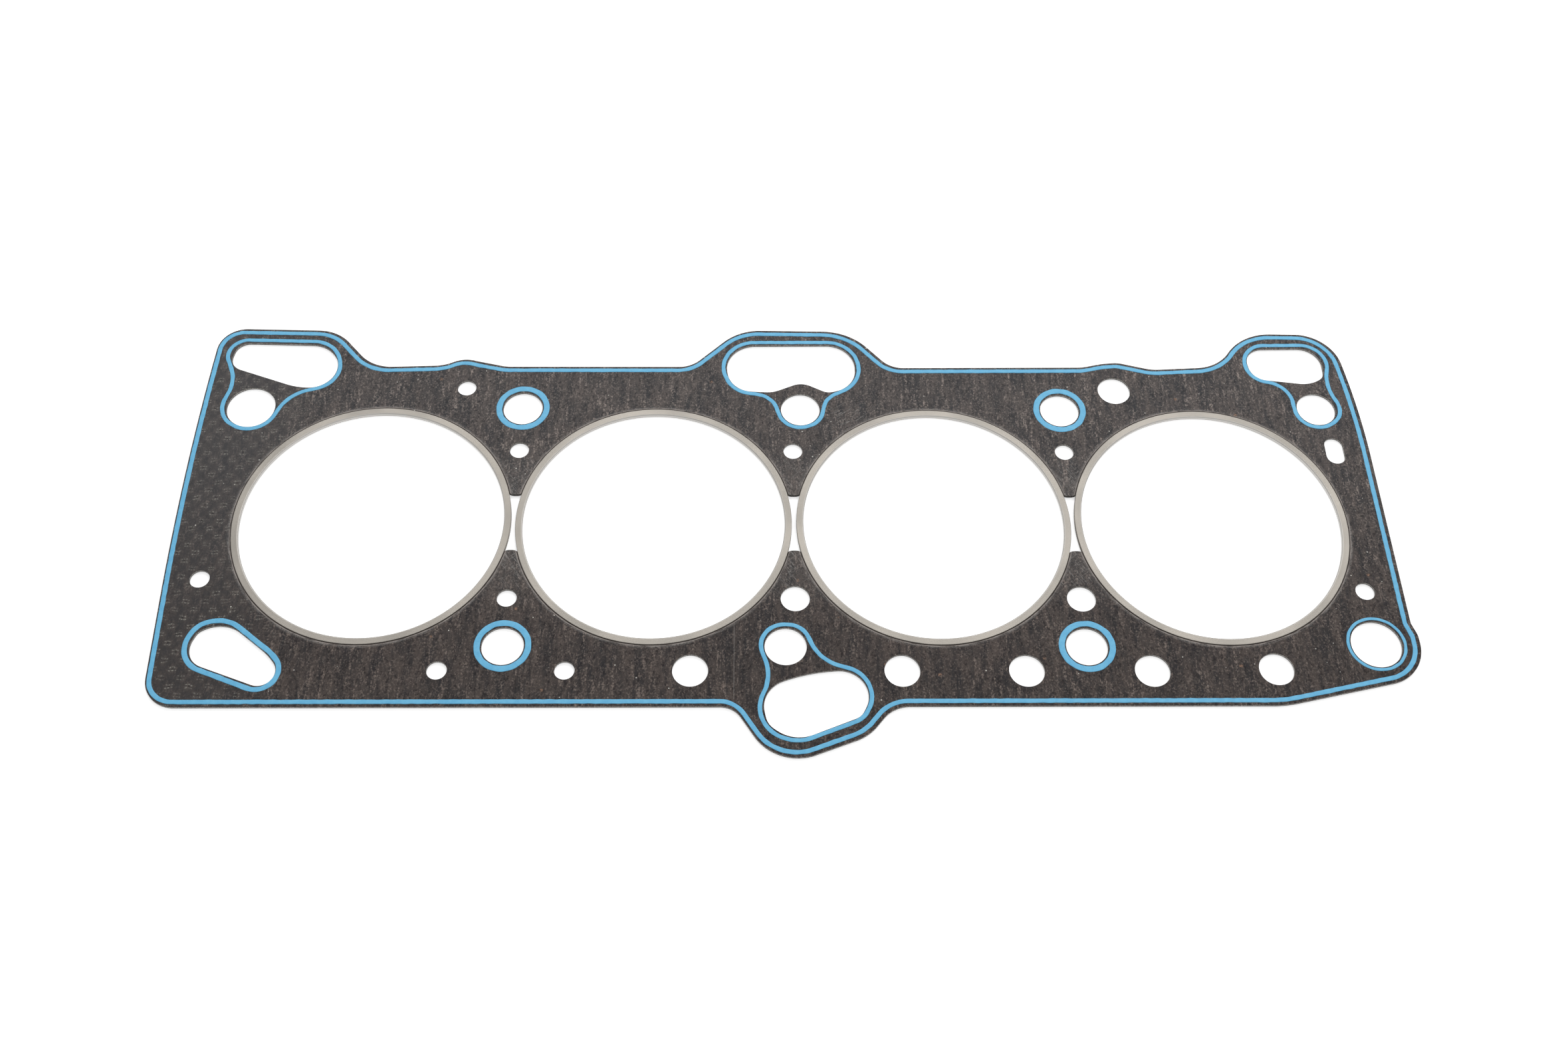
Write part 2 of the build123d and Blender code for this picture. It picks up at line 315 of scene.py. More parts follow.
facing = {
    "dark": (0.0175, 0.0168, 0.0182, 1),
    "brown": (0.061, 0.050, 0.045, 1),
    "streak": (0.216, 0.178, 0.154, 1),
    "cool": (0.033, 0.034, 0.038, 1),
    "plain": (0.044, 0.0408, 0.0398, 1),
    # dark of the pores, and painted shade in the tang recesses
    "pore": (0.006, 0.005, 0.006, 1),
    # painted shade in the groove beside each ring
    "groove": (0.015, 0.0098, 0.0085, 1),
    "lip": (0.285, 0.252, 0.232, 1),
    "grey": (0.27, 0.258, 0.245, 1),
    "tang": (0.33, 0.315, 0.28, 1),
    "near": (1.14, 1.12, 1.12, 1),  # painted shade: the sheet is warmer and darker on the side of the feed port
    # painted sheen: the far side is paler and cooler
    "far": (1.52, 1.54, 1.59, 1),
    "farSheenGrey": (0.105, 0.112, 0.112, 1),  # painted sheen: grey over the far side
    "whiteSpeck": (0.62, 0.60, 0.55, 1),
    "tanSpeck": (0.30, 0.18, 0.12, 1),
    "share": {  # how strongly each layer covers the ones below it
        "pores": 0.7, "plain": 0.5, "loose": 0.55, "streaks": 0.46, "farStreaks": 0.10, "farSheenGrey": 0.12,
        "between": 0.3, "smear": 0.16, "tangs": 0.62, "recess": 0.5, "web": 0.95, "webFilm": 0.06,
        "scuff": 0.85, "band": 0.7, "lip": 0.72, "lipLeast": 0.14, "groove": 0.85, "scratch": 0.5,
        "whiteSpecks": 0.85, "tanSpecks": 0.75, "torn": 0.5,
    },
    "noise": {  # of each drawn layer: scale along x, y and z, detail, roughness and any turn about z
        "mottle": ((0.42, 0.09, 1), 3, 0.6),
        "pores": ((1.15, 0.7, 1), 3, 0.68),
        "fibres": ((1.25, 0.2, 1), 3, 0.6),
        "bundles": ((0.55, 0.045, 1), 2, 0.5),
        "crumbs": ((1.9, 1.5, 1), 2.2, 0.6),
        "oneWay": ((0.22, 3.4, 1), 3, 0.65, 0.95),
        "otherWay": ((0.26, 3.8, 1), 3, 0.65, -0.62),
    },
    "fade": {  # the noise level where a layer begins to show, and where it shows in full
        "mottle": (0.26, 0.74), "pores": (0.50, 0.34), "fibres": (0.46, 0.66), "bundles": (0.42, 0.60),
        "broken": (0.42, 0.60), "loose": (0.51, 0.68), "dashes": (0.42, 0.58), "smear": (0.38, 0.68),
        "oneWay": (0.53, 0.70), "otherWay": (0.55, 0.72), "patchy": (0.4, 0.6), "rubbed": (0.38, 0.58),
        "band": (0.34, 0.56), "scratch": (0.25, 0.5), "tanSpecks": (0.42, 0.56), "torn": (0.45, 0.7),
    },
    "reach": {  # the same two limits as distances from the middle of a mark
        "dash": (0.36, 0.06), "smear": (1.9, 0.7), "recess": (0.55, 0.15), "between": (1.5, 2.6),
        "scratch": (0.13, 0.03),
    },
    "drainEnd": (-156.0, -186.0),  # the x where the drain end begins, and where it is in full
    "farSide": (-60.0, 58.0),  # the same for y, for the far side's painted sheen and streaks
    "drainStreakLoss": 0.62,
    "tangPitch": (6.1, 6.05, 1.0),
    "tangLoose": 1.3,  # how far the tangs stray from their lattice
    "tangDash": (0.41, 0.54),  # spacing of a tang's dashes
    "elsewhere": 0.12,  # strength of the tang marks away from the drain end
    "webAcross": (17.0, 8.0),
    "webAlong": (34.0, 13.0),
    "scratch": (-19.7, -64.9, -37.5),  # its x, and the y where it starts and ends
    "scuff": (21.0, 40.0, 13.0),  # its middle and reach
    "band": (47.3, 46.2),  # scuffed band, lip and the groove's painted shade, as radii from the bore's middle
    "lipEdge": (46.5, 46.28),
    "grooveEdge": (46.15, 46.0),
    "edgeRound": 0.1,  # rounding of the punched edge
    "edgeTorn": 0.35,  # how much of the torn look the rounding has
    "seatFloor": 45.80,  # the pressed seat of a ring ends here
    "seatRim": 45.95,
    "seatDepth": 0.1,
    "wave": 0.012,  # height of its slow unevenness
    "waveSpread": (9.1, 7.3, 23),
    "field": ((-206, 206), (-90, 83)),  # what its grid of points spans
    "steps": {"outline": 1.0, "port": 0.8, "hole": 0.6, "bore": 1.1, "slot": 0.7, "seat": 0.9, "grid": 2.6},
}

outlineCorners = [
    (-202.7, -67.5, 10), (-19.8, -67.2, 7.5), (-6.3, -88, 16), (22.3, -77.1, 16), (30.3, -67.1, 10.5),
    (154, -66.8, 40), (200.7, -56.6, 14), (200.5, -42.1, 8), (199, -37.7, 2), (198.5, 45.4, 300),
    (194, 79.9, 15), (161.9, 80.2, 19.5), (151.4, 65.3, 15.5), (127.5, 63.9, 16), (115.4, 67, 11),
    (109.7, 66.4, 11), (102.8, 64.8, 16), (34.9, 64.2, 10), (20.5, 80.2, 21), (-18.5, 80.6, 18.5),
    (-35.4, 64.3, 10.5), (-100, 64, 16), (-110.1, 66.3, 12.5), (-114.9, 67.7, 10.5), (-122, 64.4, 15.5),
    (-146.7, 63.5, 14.5), (-160.6, 79.5, 15), (-201.4, 80.2, 9.5), (-204.9, 20.3, 1200),
]
ports = {
    "drain": [
        (-194.9, 74.1, 5), (-164.1, 73.4, 10), (-148.3, 53.5, 9), (-172.3, 54.8, 23), (-196.7, 63.7, 5.5),
    ],
    "centre": [
        (-24.2, 74, 10), (22.4, 74.5, 10), (22.3, 55.8, 9.5), (12.4, 53.2, 5), (3.4, 57.7, 7),
        (-6.8, 53.3, 10), (-21.5, 54.1, 9),
    ],
    "timing": [
        (161.2, 73.6, 6.5), (188.9, 74.1, 7.5), (188.6, 61, 4.5), (182.7, 57.7, 11), (162.7, 60.2, 6.5),
    ],
    "feed": [
        (-11.7, -61, 9.5), (4.3, -55.2, 57), (28.6, -53.6, 9), (20.1, -70.8, 5), (-1, -79.4, 11.5),
        (-9.2, -73.4, 6.5),
    ],
    "drainSlot": [
        (-189.6, -41, 4), (-181.7, -37, 10.5), (-166.3, -49.3, 23), (-154.2, -65.9, 5), (-193.9, -50.9, 7.5),
    ],
}
roundHoles = {  # radius: places
    gasket["boltRadius"]: [
        (-93, -46.2), (-93, 46.2), (93, -46.2), (93, 46.2), (2.8, 46.2), (-3.3, -46.2), (183.2, 47.2),
    ],
    gasket["sleeveRadius"]: [(-186.3, 46.2), (186.4, -45.3)],
    5.7: [(113, 54.8), (113, -54.8), (73, -54.8), (33.5, -54.8), (-33.5, -54.8), (152.7, -54.2)],
    4.75: [(0, -28.775), (93, -28.775)],
    3.25: [
        (-93, 28.775), (0, 28.775), (93, 28.775), (-93, -28.775), (-113, 54.8), (-113, -54.8),
        (-73, -54.8), (-192.3, -21.9), (186.5, -25.8),
    ],
}
oblongHole = [(183.35, 24.35, 3.25), (189.85, 24.35, 3.25), (189.85, 35.05, 3.25), (183.35, 35.05, 3.25)]
boreEdge = 43.9
slotShape = {"half": 11.75, "side": 45.45, "rounding": 0.95, "endPoints": 15}


def slotLoop(column, shape, step):
    # Two arcs about the neighbouring rings' middles, joined by ends that bow in towards the slot's middle:
    # y = half - rounding * (1 - |x / widest| ** 3). At their corners a little of the core shows.
    reach = np.arcsin(shape["half"] / shape["side"])
    a = np.linspace(-reach, reach, int(2 * shape["half"] / step))
    sideX = gasket["pitch"] / 2 - shape["side"] * np.cos(a)
    sideY = shape["side"] * np.sin(a)
    t = np.linspace(1, -1, shape["endPoints"])[1:-1]
    endX = sideX[-1] * t
    endY = shape["half"] - shape["rounding"] * (1 - np.abs(t) ** 3)
    right = np.stack([sideX, sideY], 1)
    top = np.stack([endX, endY], 1)
    return np.concatenate([right, top, -right, -top]) + (column, 0)


def faceHeight(xy):
    # Flat but for the ring seats, a smooth step down of seatDepth between the two seat radii, and for a
    # slow wave of three crossed sines.
    across = np.abs(np.abs(np.abs(xy[:, 0]) - gasket["pitch"]) - gasket["pitch"] / 2)
    t = (np.hypot(across, xy[:, 1]) - facing["seatFloor"]) / (facing["seatRim"] - facing["seatFloor"])
    t = np.clip(t, 0, 1)
    spreadX, spreadY, spreadBoth = facing["waveSpread"]
    wave = np.sin(xy[:, 0] / spreadX + 1) * np.sin(xy[:, 1] / spreadY)
    wave = wave + np.sin((xy[:, 0] + xy[:, 1]) / spreadBoth)
    wave = (wave - 2) / 2 * facing["wave"]
    return gasket["faceTop"] - facing["seatDepth"] * (1 - t * t * (3 - 2 * t)) + wave * t


def crossings(spots, starts, ends):
    # How many boundary edges a ray from each spot towards +x meets, in blocks to bound the memory.
    found = np.zeros(len(spots), int)
    rise = ends[:, 1] - starts[:, 1]
    slope = (ends[:, 0] - starts[:, 0]) / np.where(rise == 0, 1e-12, rise)
    for block in np.array_split(np.arange(len(spots)), max(1, len(spots) // 1500)):
        x, y = spots[block, :1], spots[block, 1:]
        spans = (starts[None, :, 1] > y) != (ends[None, :, 1] > y)
        found[block] = (spans & (x < starts[None, :, 0] + (y - starts[None, :, 1]) * slope)).sum(1)
    return found


def sheetField():
    # The sheet's loops, set back by the edge rounding, bound a Delaunay field over a staggered grid, which
    # also holds three circles in each ring seat. Gives flat points and triangles that face up.
    roundOff, steps = facing["edgeRound"], facing["steps"]
    outer = roundedLoop(outlineCorners, steps["outline"])
    loops = [outer - outwardOf(outer) * roundOff]
    holes = [roundedLoop(corners, steps["port"]) for corners in ports.values()]
    holes.append(roundedLoop(oblongHole, steps["hole"]))
    holes += [circleLoop(x, y, r, steps["hole"]) for r, places in roundHoles.items() for x, y in places]
    holes += [circleLoop(x, 0, boreEdge, steps["bore"]) for x in ringColumns]
    holes += [slotLoop(x, slotShape, steps["slot"]) for x in slotColumns]
    loops += [hole + outwardOf(hole) * roundOff for hole in holes]
    starts = np.concatenate(loops)
    ends = np.concatenate([np.roll(loop, -1, 0) for loop in loops])
    seatRadii = (facing["seatFloor"], (facing["seatFloor"] + facing["seatRim"]) / 2, facing["seatRim"])
    seats = [circleLoop(x, 0, r, steps["seat"]) for x in ringColumns for r in seatRadii]
    step = steps["grid"]
    gx, gy = np.meshgrid(*(np.arange(low, high, step) for low, high in facing["field"]))
    gx = gx + step / 2 * (np.arange(len(gx))[:, None] % 2)
    inner = np.stack([gx.ravel(), gy.ravel()], 1)
    inner = inner[crossings(inner, starts, ends) % 2 == 1]
    rings = loops + seats
    given = np.concatenate(rings + [inner])
    first = np.cumsum([0] + [len(loop) for loop in rings])
    edges = np.concatenate([
        np.stack([np.arange(len(loop)), (np.arange(len(loop)) + 1) % len(loop)], 1) + begin
        for loop, begin in zip(rings, first)
    ])
    found = delaunay_2d_cdt(given.tolist(), edges.tolist(), [], 0, 1e-5)
    flat, faces = np.array([tuple(v) for v in found[0]]), np.array(found[2])
    a, b, c = flat[faces[:, 0]], flat[faces[:, 1]], flat[faces[:, 2]]
    turned = (b[:, 0] - a[:, 0]) * (c[:, 1] - a[:, 1]) < (b[:, 1] - a[:, 1]) * (c[:, 0] - a[:, 0])
    faces[turned] = faces[turned][:, ::-1]
    faces = faces[crossings((a + b + c) / 3, starts, ends) % 2 == 1]
    used, faces = np.unique(faces, return_inverse=True)
    return flat[used], faces.reshape(-1, 3)


def facingMesh():
    # The punched sheet: the field carries the height function, and each boundary point rolls down a
    # quarter circle to the wall and the core. The underside is the field again, facing down.
    roundOff = facing["edgeRound"]
    flat, faces = sheetField()
    many = len(flat)

    # boundary edges have a triangle on one side only, and lie with the sheet on their left
    directed = np.concatenate([faces[:, [0, 1]], faces[:, [1, 2]], faces[:, [2, 0]]])
    forwards, backwards = directed @ (many, 1), directed @ (1, many)
    border = directed[~np.isin(forwards, backwards)]
    along = flat[border[:, 1]] - flat[border[:, 0]]
    along /= np.linalg.norm(along, axis=1)[:, None]
    out = np.stack([along[:, 1], -along[:, 0]], 1)
    total = np.zeros((many, 2))
    np.add.at(total, border[:, 0], out)
    np.add.at(total, border[:, 1], out)
    edge = np.unique(border)
    miter = total[edge] * 2 / (total[edge] ** 2).sum(1)[:, None]
    place = np.full(many, -1)
    place[edge] = np.arange(len(edge))
    border = place[border]

    top = faceHeight(flat)
    angles = np.radians([30, 60, 90])
    outs = np.r_[roundOff * np.sin(angles), roundOff * 0.8, roundOff * 0.9]  # the wall leans in a little
    foot = np.full(len(edge), gasket["coreTop"])
    lows = [top[edge] - drop for drop in roundOff * (1 - np.cos(angles))]
    lows += [(top[edge] - roundOff + foot) / 2, foot]
    rows = [np.c_[flat, top]] + [np.c_[flat[edge] + miter * reach, low] for reach, low in zip(outs, lows)]
    base = np.c_[flat, np.full(many, gasket["coreTop"])]
    base[edge] = rows[-1]
    rows[-1] = base
    points = np.concatenate(rows)
    begins = np.cumsum([0] + [len(row) for row in rows])
    under = begins[-2]
    index = [edge] + [begins[k] + np.arange(len(edge)) for k in range(1, len(outs))] + [under + edge]
    quads = np.concatenate([
        np.stack([upper[border[:, 1]], upper[border[:, 0]], lower[border[:, 0]], lower[border[:, 1]]], 1)
        for upper, lower in zip(index[:-1], index[1:])
    ])
    triangles = np.concatenate([faces, faces[:, ::-1] + under])

    # normals: the height function's slope on the field, and the quarter circle's own on the edge
    nudge = 0.05
    slopeX = (faceHeight(flat + (nudge, 0)) - faceHeight(flat - (nudge, 0))) / (2 * nudge)
    slopeY = (faceHeight(flat + (0, nudge)) - faceHeight(flat - (0, nudge))) / (2 * nudge)
    normals = np.c_[-slopeX, -slopeY, np.ones(many)]
    side = miter / np.linalg.norm(miter, axis=1)[:, None]
    lean = np.r_[angles, np.pi / 2, np.pi / 2]
    normals = [normals] + [np.c_[side * np.sin(n), np.full(len(edge), np.cos(n))] for n in lean[:-1]]
    normals.append(np.tile((0.0, 0.0, -1.0), (many, 1)))
    normals[-1][edge] = np.c_[side, np.zeros(len(edge))]
    normals = np.concatenate(normals)
    normals /= np.linalg.norm(normals, axis=1)[:, None]

    # how torn each point is: not at all on the two faces, and less on the rounding's first row
    torn = np.r_[np.zeros(many), np.ones(under - many), np.zeros(many)]
    torn[under + edge] = 1
    torn[many:begins[2]] = facing["edgeTorn"]
    return points, quads, triangles, normals, torn


def facingMaterial(look):
    material, tree, principled = newMaterial("fibreFacing")
    share, fade, reach = look["share"], look["fade"], look["reach"]
    drawn = {name: drawnNoise(tree, *settings) for name, settings in look["noise"].items()}
    place = placeInMillimetres(tree)
    x, y = parts(tree, place, 2)
    spoke, fromRing = nearestRing(tree, x, y)
    grain = noise(tree, place, 1.7, 3, 0.75)
    drainEnd = ease(tree, x, *look["drainEnd"])
    farSide = ease(tree, y, *look["farSide"])

    # slow mottling between near black and brown, with small dark pores over it
    mottle = ease(tree, drawn["mottle"], *fade["mottle"])
    colour = blendColour(tree, mottle, look["dark"], look["brown"])
    pores = ease(tree, drawn["pores"], *fade["pores"])
    colour = blendColour(tree, times(tree, pores, share["pores"]), colour, look["pore"])

    # the drain end is plainer than the rest
    colour = blendColour(tree, times(tree, drainEnd, share["plain"]), colour, look["plain"])

    # soft pale fibre bundles drawn out along y, and loose crumbs; fewer of both at the drain end
    fibres = ease(tree, drawn["fibres"], *fade["fibres"])
    bundles = scaleAndAdd(tree, ease(tree, drawn["bundles"], *fade["bundles"]), 0.85, 0.25)
    broken = scaleAndAdd(tree, ease(tree, drawn["crumbs"], *fade["broken"]), 0.9, 0.05)
    streaks = times(tree, fibres, bundles, broken)
    loose = times(tree, ease(tree, drawn["crumbs"], *fade["loose"]), share["loose"])
    kept = scaleAndAdd(tree, drainEnd, -look["drainStreakLoss"], 1.0)
    streaks = times(tree, calc(tree, "ADD", streaks, loose), kept)
    shown = times(tree, streaks, scaleAndAdd(tree, farSide, share["farStreaks"], share["streaks"]))
    colour = blendColour(tree, shown, colour, look["streak"])

    # painted sheen: the far side is paler and cooler, with grey over it
    colour = vector(tree, "MULTIPLY", colour, blendColour(tree, farSide, look["near"], look["far"]))
    colour = blendColour(tree, times(tree, farSide, share["farSheenGrey"]), colour, look["farSheenGrey"])

    # the core's tangs: a centred lattice, each mark two rows of three pale dashes round a small recess
    # darkened with painted shade
    pitch, (dashX, dashY) = look["tangPitch"], look["tangDash"]
    stray = vector(tree, "SUBTRACT", noise(tree, place, 0.45, 1, output=1), (0.5, 0.5, 0.5))
    stray = vector(tree, "MULTIPLY", stray, (look["tangLoose"], look["tangLoose"], 0.0))
    flat = vector(tree, "MULTIPLY", place, (1.0, 1.0, 0.0))
    grid = vector(tree, "DIVIDE", vector(tree, "ADD", flat, stray), pitch)
    cells = [
        vector(tree, "FLOOR", vector(tree, "ADD", grid, (0.5, 0.5, 0.0))),
        vector(tree, "ADD", vector(tree, "FLOOR", grid), (0.5, 0.5, 0.0)),
    ]
    places = [vector(tree, "MULTIPLY", vector(tree, "SUBTRACT", grid, cell), pitch) for cell in cells]
    reaches = [lengthOf(tree, spot) for spot in places]
    second = calc(tree, "LESS_THAN", reaches[1], reaches[0])
    cell = blendVector(tree, second, *cells)
    inX, inY = parts(tree, vector(tree, "ABSOLUTE", blendVector(tree, second, *places)), 2)
    fromMark = calc(tree, "MINIMUM", *reaches)
    foldedX = calc(tree, "ABSOLUTE", calc(tree, "SUBTRACT", inX, dashX))
    dashSpot = {
        0: times(tree, calc(tree, "ABSOLUTE", calc(tree, "SUBTRACT", foldedX, dashX)), 0.75),
        1: calc(tree, "ABSOLUTE", calc(tree, "SUBTRACT", inY, dashY)),
    }
    fromDash = lengthOf(tree, node(tree, "ShaderNodeCombineXYZ", dashSpot))
    perMark = node(tree, "ShaderNodeTexWhiteNoise", {"Vector": cell})
    region = scaleAndAdd(tree, drainEnd, 1 - look["elsewhere"], look["elsewhere"])
    power = times(tree, scaleAndAdd(tree, perMark, 0.7, 0.35), region)
    dashes = scaleAndAdd(tree, ease(tree, grain, *fade["dashes"]), 0.85, 0.15)
    dashes = times(tree, ease(tree, fromDash, *reach["dash"]), dashes)
    smear = times(tree, ease(tree, fromMark, *reach["smear"]), ease(tree, grain, *fade["smear"]))
    marks = times(tree, scaleAndAdd(tree, smear, share["smear"], dashes), power)
    recess = times(tree, ease(tree, fromMark, *reach["recess"]), power)
    between = times(tree, ease(tree, fromMark, *reach["between"]), drainEnd, share["between"])
    colour = blendColour(tree, between, colour, look["cool"])
    colour = blendColour(tree, times(tree, marks, share["tangs"]), colour, look["tang"])
    colour = blendColour(tree, times(tree, recess, share["recess"]), colour, look["pore"])

    # burnished webs: greyer, with crossed fine scratches, from the slots out to the coolant holes
    column = calc(tree, "ABSOLUTE", x)
    outer = calc(tree, "ABSOLUTE", calc(tree, "SUBTRACT", column, gasket["pitch"]))
    column = calc(tree, "MINIMUM", column, outer)
    web = ease(tree, calc(tree, "ABSOLUTE", y), *look["webAlong"])
    web = times(tree, ease(tree, column, *look["webAcross"]), web)
    oneWay, otherWay = (ease(tree, drawn[way], *fade[way]) for way in ("oneWay", "otherWay"))
    patchy = scaleAndAdd(tree, ease(tree, drawn["crumbs"], *fade["patchy"]), 0.6, 0.4)
    scratches = times(tree, calc(tree, "MAXIMUM", oneWay, otherWay), patchy)
    worn = times(tree, web, scaleAndAdd(tree, scratches, share["web"], share["webFilm"]))

    # a patch of long scratches beside the centre port
    scuffX, scuffY, scuffReach = look["scuff"]
    fromScuff = vector(tree, "DISTANCE", flat, (scuffX, scuffY, 0.0), output=1)
    scuffed = times(tree, ease(tree, fromScuff, scuffReach, scuffReach / 3), share["scuff"], otherWay)
    worn = calc(tree, "MAXIMUM", worn, scuffed)

    # beside each ring the press has scuffed narrow lines that follow it, outside a pale lip and a groove
    # darkened with painted shade
    rubbed = roundTheRing(tree, x, spoke, fromRing, 11.0, 0.02, 3.2)
    rubbed = ease(tree, noise(tree, rubbed, 1.0, 4, 0.7), *fade["rubbed"])
    band = times(tree, ease(tree, fromRing, *look["band"]), rubbed, ease(tree, grain, *fade["band"]))
    worn = calc(tree, "MAXIMUM", worn, times(tree, band, share["band"]))
    colour = blendColour(tree, worn, colour, look["grey"])
    lip = scaleAndAdd(tree, rubbed, share["lip"], share["lipLeast"])
    colour = blendColour(tree, times(tree, ease(tree, fromRing, *look["lipEdge"]), lip), colour, look["lip"])
    groove = times(tree, ease(tree, fromRing, *look["grooveEdge"]), share["groove"])
    colour = blendColour(tree, groove, colour, look["groove"])

    # one fine pale scratch runs along y between the second bore and the feed port
    scratchX, scratchStart, scratchEnd = look["scratch"]
    offLine = calc(tree, "ABSOLUTE", calc(tree, "SUBTRACT", x, scratchX))
    line = times(
        tree, ease(tree, offLine, *reach["scratch"]), ease(tree, y, scratchEnd, scratchEnd - 1.5),
        ease(tree, grain, *fade["scratch"]), calc(tree, "GREATER_THAN", y, scratchStart), share["scratch"],
    )
    colour = blendColour(tree, line, colour, look["grey"])

    # specks: tiny white ones, and fewer tan ones
    spots = {"Vector": place, "Scale": 0.30}
    fromSpot = node(tree, "ShaderNodeTexVoronoi", spots, 0)
    lot = node(tree, "ShaderNodeSeparateColor", {0: node(tree, "ShaderNodeTexVoronoi", spots, 1)})
    size = times(tree, ease(tree, lot, 0.3, 1.0), 0.1)
    whites = ease(tree, fromSpot, size, times(tree, size, 0.35))
    whites = times(tree, whites, calc(tree, "GREATER_THAN", lot, 0.42), share["whiteSpecks"])
    colour = blendColour(tree, whites, colour, look["whiteSpeck"])
    moved = vector(tree, "ADD", place, (37.0, 11.0, 0.0))
    fromSpot = node(tree, "ShaderNodeTexVoronoi", {"Vector": moved, "Scale": 0.085}, 0)
    broken = ease(tree, grain, *fade["tanSpecks"])
    tans = times(tree, ease(tree, fromSpot, 0.07, 0.03), broken, share["tanSpecks"])
    colour = blendColour(tree, tans, colour, look["tanSpeck"])

    # the cut wall shows torn fibre ends
    cut = node(tree, "ShaderNodeAttribute", {}, 2, attribute_name="cutEdge")
    torn = times(tree, cut, ease(tree, noise(tree, place, 3.0, 3, 0.7), *fade["torn"]), share["torn"])
    colour = blendColour(tree, torn, colour, look["grey"])

    rough = scaleAndAdd(tree, worn, -0.12, scaleAndAdd(tree, drawn["mottle"], 0.25, 0.6))
    principled.inputs["Specular IOR Level"].default_value = 0.14
    height = marks
    bumps = noise(tree, place, 2.6, 3, 0.65)
    webLines = times(tree, scratches, web)
    for layer, amount in ((streaks, 0.35), (bumps, 0.5), (recess, -1.8), (webLines, -0.5)):
        height = scaleAndAdd(tree, layer, amount, height)
    finishSurface(tree, principled, colour, rough, height, 0.55, 0.08)
    return material


fibre = facingMaterial(facing)
points, quads, triangles, normals, tornEdge = facingMesh()
for name, stoodFor, flipped in (
    ("upperFacingSheet", "upper_facing", False), ("lowerFacingSheet", "lower_facing", True),
):
    shape = mirrored(points, quads, triangles) if flipped else (points, quads, triangles)
    shade = normals * (1, 1, -1) if flipped else normals
    sheet = meshPiece(name, *shape, fibre, "facing", stoodFor, shade)
    cutEdge = sheet.data.attributes.new("cutEdge", "FLOAT", "POINT")
    cutEdge.data.foreach_set("value", tornEdge.astype(np.float32))
print("facings:", 2 * (2 * len(quads) + len(triangles)), "triangles")


# Steel core, seen only at the cut edges, so that its CAD shape is kept and painted

core = {"steel": (0.40, 0.385, 0.365, 1), "dull": (0.16, 0.15, 0.135, 1)}


def coreMaterial(look):
    material, tree, principled = newMaterial("punchedCore")
    sheared = drawnNoise(tree, (2.4, 2.4, 0.5), 4, 0.65)
    colour = blendColour(tree, ease(tree, sheared, 0.4, 0.65), look["dull"], look["steel"])
    principled.inputs["Metallic"].default_value = 0.85
    rough = scaleAndAdd(tree, sheared, 0.3, 0.32)
    height = scaleAndAdd(tree, noise(tree, placeInMillimetres(tree), 6.0, 2), 0.3, sheared)
    finishSurface(tree, principled, colour, rough, height, 0.5, 0.05)
    return material


def paintNode(name, material):
    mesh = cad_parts[name].data
    mesh.materials.clear()
    mesh.materials.append(material)


paintNode("core_plate", coreMaterial(core))
print("core painted")


# Fire rings

ring = {
    "inner": 43.4,
    "outer": 45.75,
    "sheet": 0.25,
    "bend": 0.18,  # inner radius of the fold
    "rim": 0.07,  # rounding of the sheared outer edge
    "dip": 0.004,  # how far the flange's middle sinks
    "steps": 264,  # points round a ring
    "edgeShare": 0.3,  # how strongly painted shade darkens the sheared edge
    "foldFade": (0.55, 0.25),  # distances from the bore wall where the fold's painted highlight begins and is in full
    "wallFade": (0.25, 0.1),  # the same for the bore wall's paler tone
    "wallLimit": (0.52, 0.36),  # and its limits as heights
    "edgeFade": (0.24, 0.04),  # the same for the painted shade on the sheared edge, from the outer edge
    # lit and shaded copies of the flange steel, for painted reflection changes and mottling
    "satinLit": (0.305, 0.283, 0.253, 1),
    "shade": (0.245, 0.229, 0.206, 1),
    "bent": (0.355, 0.34, 0.318, 1),  # the fold, paler with painted highlight
    "wallPolishAndSheen": (0.52, 0.505, 0.485, 1),  # the bore wall, paler for its polish and for painted reflection
    "sheared": (0.07, 0.064, 0.058, 1),  # painted shade on the outer edge
}


def ringSection(size):
    # Half of the folded strip from the middle of the bore wall: up the wall, round the fold, out along the
    # flange, over the rim and back along the underside. The other half mirrors it in z. The rows close to
    # a bend keep its shading off the flat beside it.
    top, sheet, rim = gasket["ringTop"], size["sheet"], size["rim"]
    fold, inside = size["bend"] + sheet, size["bend"]
    inner, outer = size["inner"], size["outer"]
    a = np.radians(np.linspace(0, 90, 9))
    foldR, foldZ = inner + fold * (1 - np.cos(a)), top - fold * (1 - np.sin(a))
    flangeR = np.array([foldR[-1] + 0.12, (inner + outer) / 2, outer - 0.45, outer - 0.2])
    flangeZ = top - np.array([0.0, size["dip"], 0.0, 0.0])
    b = np.radians(np.linspace(15, 90, 4))
    rimR, rimZ = outer - rim * (1 - np.sin(b)), top - rim * (1 - np.cos(b))
    underR = np.array([outer, outer - 0.03, outer - 0.25, foldR[-1] + 0.1])
    underZ = top - np.array([sheet * 0.8, sheet, sheet, sheet])
    c = np.radians(np.linspace(90, 0, 6))
    innerR = inner + sheet + inside * (1 - np.cos(c))
    innerZ = top - sheet - inside * (1 - np.sin(c))
    r = np.r_[inner, foldR, flangeR, rimR, underR, innerR, inner + sheet]
    z = np.r_[0.12, foldZ, flangeZ, rimZ, underZ, innerZ, 0.12]
    return np.concatenate([np.stack([r, z], 1), np.stack([r, -z], 1)[::-1]])


